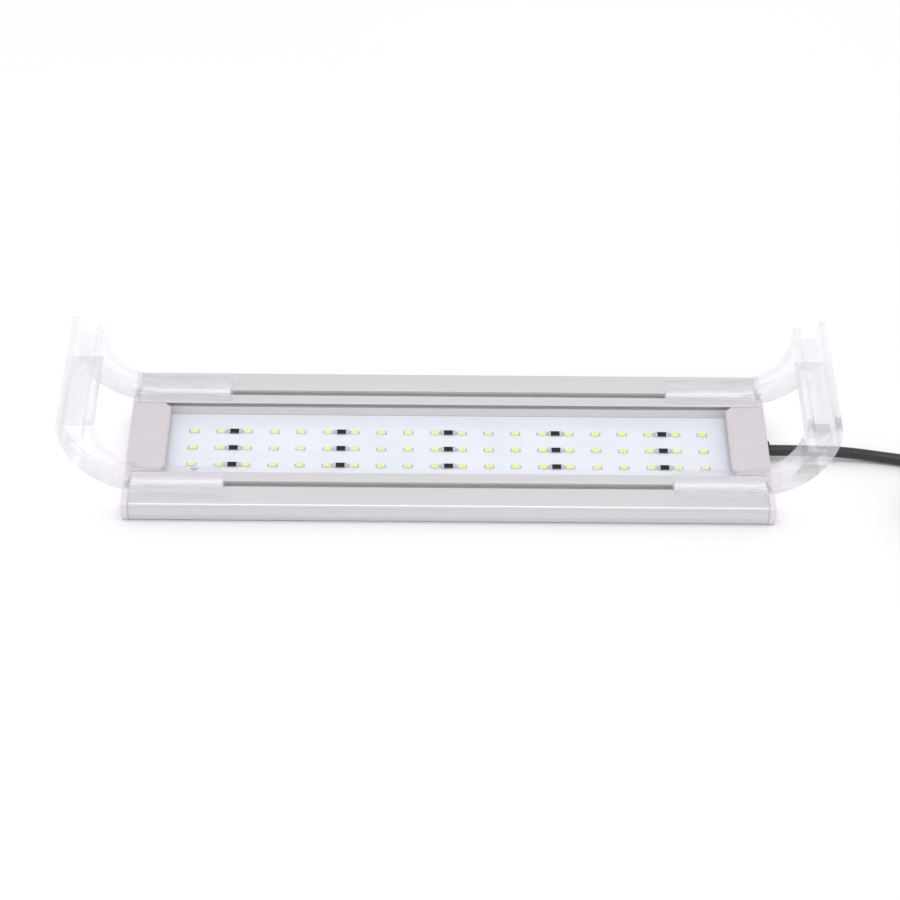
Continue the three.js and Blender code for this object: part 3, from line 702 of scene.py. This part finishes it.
def cap_screw(side, where):
    """A countersunk screw with a cross recess, in the rear or front seat of a cap."""
    node = f"{side}_cap_screw_{where}"
    low, high = box_mm(node)
    sign = -1 if side == "left" else 1
    face, middle = (high[0] if sign > 0 else -low[0]), (low[1] + high[1]) / 2
    profile = [(face - 9, 0), (face - 9, 0.4), (face - 7.8, 1.15), (face - 1.6, 1.15), (face - 0.25, 2.62),
               (face - 0.12, 2.7), (face - 0.02, 2.62), (face, 2.4), (face, 0)]
    profile = [(sign * x, radius) for x, radius in profile]
    screw = tool(lambda bm: lathe(bm, profile, 40, "X", (0, middle, SCREW_HEIGHT)))
    spin = Matrix.Rotation(math.radians(12 if where == "rear" else 57), 4, "X")
    turn = Matrix.Translation((0, middle, SCREW_HEIGHT)) @ spin

    def cross(bm):
        long, wide = 1.5, 0.32
        quarter = [(long, wide), (wide, wide), (wide, long)]
        outline = []
        for a, b in ((1, 0), (0, 1), (-1, 0), (0, -1)):
            outline += [(y * a - z * b, y * b + z * a) for y, z in quarter]
        prism(bm, outline, "X", *sorted((sign * (face - 0.9), sign * (face + 1))))
        bmesh.ops.transform(bm, verts=bm.verts, matrix=turn)

    join_or_cut(screw, [tool(cross)], "DIFFERENCE")
    soften(relabel(screw, f"{node}_turned", STEEL), 0.06)
    return finish_piece(screw, "lamp", "screw_steel", node)


def cap_seal(side):
    """The flat seal between the housing and a cap, open at the slots and the recess."""
    inset, half, gap = 0.06, RECESS["half"] + 0.1, 0.03
    low, high = BAR_HIGH[0] + gap, END - CAP_PLATE - gap
    section = mirrored([*flange(inset), *slot_outline(0.1, inset), (half, HEIGHT - inset, 0.2),
                        (half, RECESS["floor"], 0.3)])
    start, end = sorted((low, high) if side == "right" else (-low, -high))
    seal = tool(lambda bm: prism(bm, section, "X", start, end))
    hole = [(start - 1, 0), (start - 1, SCREW_HOLE), (end + 1, SCREW_HOLE), (end + 1, 0)]
    holes = [tool(lambda bm: lathe(bm, hole, 32, "X", (0, y, SCREW_HEIGHT))) for y in (-SCREW_AT, SCREW_AT)]
    join_or_cut(seal, holes, "DIFFERENCE")
    relabel(seal, f"{side}_cap_gasket", SILICONE)
    return finish_piece(seal, "lamp", "seal_silicone", f"{side}_cap_seal")


for side in ("left", "right"):
    end_cap(side)
    cap_seal(side)
    for where in ("rear", "front"):
        cap_screw(side, where)


# ---- Board, LEDs and resistors ------------------------------------------------------------------------

BOARD_TOP = box_mm("led_board")[1][2]
COPPER_THICK = 0.04
INK_MARK = {"at": (-117.2, -15.1), "half": (1.7, 1.2), "thick": 0.07, "points": 28}
LED = {"half_x": 1.75, "half_y": 1.4, "pitch": 12.5, "window_x": 1.62, "window_y": 1.3, "top": 0.93}


def board():
    low, high = box_mm("led_board")
    bm = bmesh.new()
    prism(bm, rectangle(low[0], low[1], high[0], high[1], 1.5), "Z", low[2], high[2])
    piece = soften(as_object("board_laminate", bm, [BOARD_WHITE]), 0.12)
    return finish_piece(piece, "lamp", "board_white", "led_board")


def copper_relief():
    """The copper areas that show faintly through the white mask, as low steps."""
    low, high = box_mm("led_board")
    bm = bmesh.new()

    def plate(x0, y0, x1, y1, radius=0.4):
        prism(bm, rectangle(x0, y0, x1, y1, radius), "Z", BOARD_TOP, BOARD_TOP + COPPER_THICK)

    for row in (-12, 0, 12):
        for string in range(5):
            x = (string - 2) * 50
            for a, b in ((-24.5, -19.4), (-18.1, -6.9), (6.9, 18.1)):
                plate(x + a, row - 2.6, x + b, row + 2.6)
            plate(x - 5.6, row - 2.0, x - 1.6, row + 2.0)
            plate(x + 1.6, row - 2.0, x + 5.6, row + 2.0)
    for y in (-21.6, 20.4):  # the supply tracks along both edges
        plate(low[0] + 3, y, high[0] - 3, y + 1.6, 0.6)
    piece = as_object("board_copper_relief", bm, [COPPER_UNDER_MASK])
    return finish_piece(piece, "lamp", "board_white")


def draw_led(bm, x):
    """One LED package: pads, solder, the white frame with its window, and the phosphor in it."""
    hx, hy, top = LED["half_x"], LED["half_y"], LED["top"]
    for sign in (-1, 1):
        x0, x1 = sorted((x + sign * 0.9, x + sign * 2.45))
        prism(bm, rectangle(x0, -1.2, x1, 1.2, 0.15), "Z", 0.0, 0.06, material=2)
        fillet = [(x + sign * (hx - 0.1), 0.03), (x + sign * 2.4, 0.04), (x + sign * 2.25, 0.12),
                  (x + sign * 1.95, 0.24), (x + sign * (hx + 0.02), 0.46), (x + sign * (hx - 0.1), 0.46)]
        prism(bm, fillet, "Y", -1.1, 1.1, material=2)
    outer = rectangle(x - hx, -hy, x + hx, hy, 0.18)
    shoulder = rectangle(x - hx + 0.05, -hy + 0.05, x + hx - 0.05, hy - 0.05, 0.16)
    wx, wy = LED["window_x"], LED["window_y"]
    rim = rectangle(x - wx, -wy, x + wx, wy, 0.34)
    well = rectangle(x - wx + 0.1, -wy + 0.1, x + wx - 0.1, wy - 0.1, 0.28)
    crown = rectangle(x - wx + 0.45, -wy + 0.45, x + wx - 0.45, wy - 0.45, 0.2)
    loft(bm, [(outer, 0.06), (outer, top - 0.06), (shoulder, top), (rim, top), (well, top - 0.1),
              (crown, top - 0.07)], (0, 0, 0, 0, 1))
    notch = [(x + hx - 0.62, -hy + 0.1), (x + hx - 0.1, -hy + 0.1), (x + hx - 0.1, -hy + 0.62)]
    prism(bm, notch, "Z", top - 0.02, top + 0.015, material=2)


def led_string_mesh():
    bm = bmesh.new()
    for k in range(4):
        draw_led(bm, (k - 1.5) * LED["pitch"])
    return as_object("led_string", bm, [LED_FRAME, PHOSPHOR, TIN])


def resistor_mesh():
    """A chip resistor: ceramic, a black glass coat, wrapped terminals, solder and its pads."""
    hx, hy = 3.15, 1.4
    bm = bmesh.new()
    prism(bm, rectangle(-hx + 0.1, -hy + 0.05, hx - 0.1, hy - 0.05, 0.1), "Z", 0.12, 0.74, material=0)
    coat = rectangle(-1.95, -hy + 0.03, 1.95, hy - 0.03, 0.12)
    loft(bm, [(coat, 0.7), (coat, 0.8), (rectangle(-1.85, -hy + 0.14, 1.85, hy - 0.14, 0.12), 0.84)], (1, 1))
    for sign in (-1, 1):
        wrap = rounded([(sign * 2.1, 0.7, 0.0), (sign * 2.1, 0.8, 0.04), (sign * hx, 0.8, 0.12),
                        (sign * hx, 0.06, 0.05), (sign * 2.1, 0.06, 0.0)], steps=3)
        prism(bm, wrap, "Y", -hy, hy, material=2)
        fillet = [(sign * (hx - 0.05), 0.03), (sign * 3.92, 0.04), (sign * 3.7, 0.11), (sign * 3.4, 0.27),
                  (sign * (hx + 0.03), 0.56), (sign * (hx - 0.05), 0.56)]
        prism(bm, fillet, "Y", -hy + 0.12, hy - 0.12, material=2)
        x0, x1 = sorted((sign * 2.2, sign * 4.2))
        pad = rectangle(x0, -1.3, x1, 1.3, 0.2)
        prism(bm, pad, "Z", 0.0, 0.05, material=2)
    return as_object("resistor", bm, [CERAMIC, RESISTOR_BLACK, TIN])


def share_mesh(master, node, name, slot):
    """A copy of one mesh at the place of a CAD node, standing on the board."""
    low, high = box_mm(node)
    obj = bpy.data.objects.new(name, master.data)
    bpy.context.scene.collection.objects.link(obj)
    obj.location = Vector(((low[0] + high[0]) / 2, (low[1] + high[1]) / 2, BOARD_TOP)) * MM
    return finish_piece(obj, "lamp", slot, node)


def inspection_mark():
    """A dab of blue ink on the board."""
    bm = bmesh.new()
    (x, y), (half_x, half_y) = INK_MARK["at"], INK_MARK["half"]
    outline = []
    for k in range(INK_MARK["points"]):
        angle = 2 * math.pi * k / INK_MARK["points"]
        reach = 1 + 0.13 * math.sin(3 * angle + 0.6) + 0.07 * math.sin(7 * angle)
        outline.append((x + half_x * reach * math.cos(angle), y + half_y * reach * math.sin(angle)))
    prism(bm, outline, "Z", BOARD_TOP, BOARD_TOP + INK_MARK["thick"])
    return finish_piece(as_object("inspection_mark", bm, [INK]), "lamp", "board_white")


board()
copper_relief()
inspection_mark()
led_string, resistor = led_string_mesh(), resistor_mesh()
for row in "abc":
    for number in range(1, 6):
        share_mesh(led_string, f"led_string_{row}{number}", f"leds_{row}{number}", "led_package")
        share_mesh(resistor, f"resistor_{row}{number}", f"chip_resistor_{row}{number}", "resistor_black")
bpy.data.objects.remove(led_string)
bpy.data.objects.remove(resistor)
dress("positive_wire", WIRE_RED)
dress("negative_wire", SEAL_RUBBER)


# ---- Tank brackets ------------------------------------------------------------------------------------

# Heights are above the bar's top, but the channel floor's, which is its thickness.
BRACKET = {"prong": 3.3, "rim_slot": 8.1, "bend": 38.0, "inner_bend": 26.0, "arm_inner": 25.5,
           "arm_clear": 0.4, "arm_top": 4.0, "slot_floor": 29.2, "channel_floor": 2.2, "inner_top": 35.4,
           "outer_top": 39.2}
FOOT = {"stem": 1.6, "half": 3.8, "thick": 2.7, "end": 145.0, "clear": 0.4}


def bracket_side(arm_in, out):
    """The side view of the right bracket: arm, bends, and the two walls of the rim slot; and the underside
    of the slot's floor between the arms."""
    slot_out = out - BRACKET["prong"]
    slot_in = slot_out - BRACKET["rim_slot"]
    inner = slot_in - BRACKET["prong"] - 0.2
    radius, bend = BRACKET["inner_bend"], BRACKET["bend"]
    low, high = HEIGHT + BRACKET["arm_clear"], HEIGHT + BRACKET["arm_top"]
    outer_top, inner_top = HEIGHT + BRACKET["outer_top"], HEIGHT + BRACKET["inner_top"]
    floor = HEIGHT + BRACKET["slot_floor"]
    points = [(arm_in, low), *arc((out - bend, low + bend), bend, -90, 0, 40)]
    points += [(out, outer_top), (slot_out, outer_top), (slot_out, floor), (slot_in, floor),
               (slot_in, inner_top), (inner, inner_top)]
    points += arc((inner - radius, high + radius), radius, 0, -90, 32)
    points += [(arm_in, high)]
    return points, floor - BRACKET["channel_floor"]


def bracket(side):
    """A clear moulding: two arms, the rim slot across them, and a T-shaped foot below each arm."""
    sign = -1 if side == "left" else 1
    node = f"{side}_tank_bracket"
    low, high = box_mm(node)
    arm_in, out, half = (low[0], high[0], high[1]) if sign > 0 else (-high[0], -low[0], high[1])
    outline, channel_low = bracket_side(arm_in, out)
    outline = [(sign * x, z) for x, z in outline]
    arm_inner = BRACKET["arm_inner"]
    between = [(sign * x, z) for x, z in (
        (arm_in - 5, 0), (out + 5, 0), (out + 5, channel_low), (arm_in - 5, channel_low))]
    piece = tool(lambda bm: prism(bm, outline, "Y", -half, half))
    join_or_cut(piece, [tool(lambda bm: prism(bm, between, "Y", -arm_inner, arm_inner))], "DIFFERENCE")
    foot_top = HEIGHT - SLOT["lip"] - FOOT["clear"]
    foot_low, stem_top = foot_top - FOOT["thick"], HEIGHT + BRACKET["arm_clear"] + 0.06
    feet = []
    for y in (-SLOT["at"], SLOT["at"]):
        section = [(y - FOOT["half"], foot_low), (y + FOOT["half"], foot_low), (y + FOOT["half"], foot_top),
                   (y + FOOT["stem"], foot_top), (y + FOOT["stem"], stem_top), (y - FOOT["stem"], stem_top),
                   (y - FOOT["stem"], foot_top), (y - FOOT["half"], foot_top)]
        span = sorted((sign * (arm_in + 1), sign * FOOT["end"]))
        feet.append((section, span))
    bm = bmesh.new()
    bm.from_mesh(piece.data)
    bmesh.ops.scale(bm, vec=(1 / MM, 1 / MM, 1 / MM), verts=bm.verts)
    for section, span in feet:
        # The feet take the hazy white copy: painted light in the T-slots below the arms.
        prism(bm, section, "X", *span, material=1)
    bpy.data.objects.remove(piece)
    piece = as_object(f"{side}_bracket_moulding", bm, [CLEAR, FOOT_PAINTED_FILL])
    soften(piece, 0.5, segments=3)
    return finish_piece(piece, BODY_OF_SIDE[side], "clear_plastic", node)


for side in ("left", "right"):
    bracket(side)


# ---- Studio -------------------------------------------------------------------------------------------


FLOOR = {"half": 4000, "low": -20.2, "top": -0.2}
SKY = ((0.0, 0.6), (0.42, 0.9))  # (height of the view's direction, brightness)
LAMP = {"size": 1.2, "power": 12.0, "at": (0.0, -0.5, 2.2)}


def studio():
    """A pale floor, a plain sky that is a little dimmer near the horizon, and one round overhead lamp."""
    bm = bmesh.new()
    half = FLOOR["half"]
    prism(bm, [(-half, -half), (half, -half), (half, half), (-half, half)], "Z", FLOOR["low"], FLOOR["top"])
    s = Shader("studio_floor", Specular_IOR_Level=0.2)
    broad = s.noise((0.002, 0.002, 0.002), detail=2)
    s.colour(broad, linear(247, 247, 248), linear(250, 250, 251)).rough(broad, 0.6, 0.7)
    as_object("studio_floor", bm, [s.material])

    world = bpy.data.worlds.new("studio")
    world.use_nodes = True
    tree = world.node_tree
    kinds = ("TexCoord", "SeparateXYZ", "ValToRGB")
    sky, split, ramp = (tree.nodes.new("ShaderNode" + kind) for kind in kinds)
    for stop, (height, level) in zip(ramp.color_ramp.elements, SKY):
        stop.position, stop.color = height, (level, level * 0.99, level, 1.0)
    tree.links.new(sky.outputs["Generated"], split.inputs["Vector"])
    tree.links.new(split.outputs["Z"], ramp.inputs["Fac"])
    tree.links.new(ramp.outputs["Color"], tree.nodes["Background"].inputs["Color"])
    bpy.context.scene.world = world
    data = bpy.data.lights.new("overhead", "AREA")
    data.shape, data.size, data.energy = "DISK", LAMP["size"], LAMP["power"]
    lamp = bpy.data.objects.new("overhead", data)
    lamp.location = LAMP["at"]
    lamp.rotation_euler = (-lamp.location).to_track_quat("-Z", "Y").to_euler()
    bpy.context.scene.collection.objects.link(lamp)
    paths = bpy.context.scene.cycles  # clear plastic needs more bounces than the defaults
    paths.max_bounces, paths.transmission_bounces, paths.glossy_bounces = 32, 32, 24
    paths.transparent_max_bounces = 16
    view = bpy.context.scene.view_settings
    view.view_transform, view.look, view.exposure, view.gamma = "Standard", "None", 0.0, 1.0


studio()
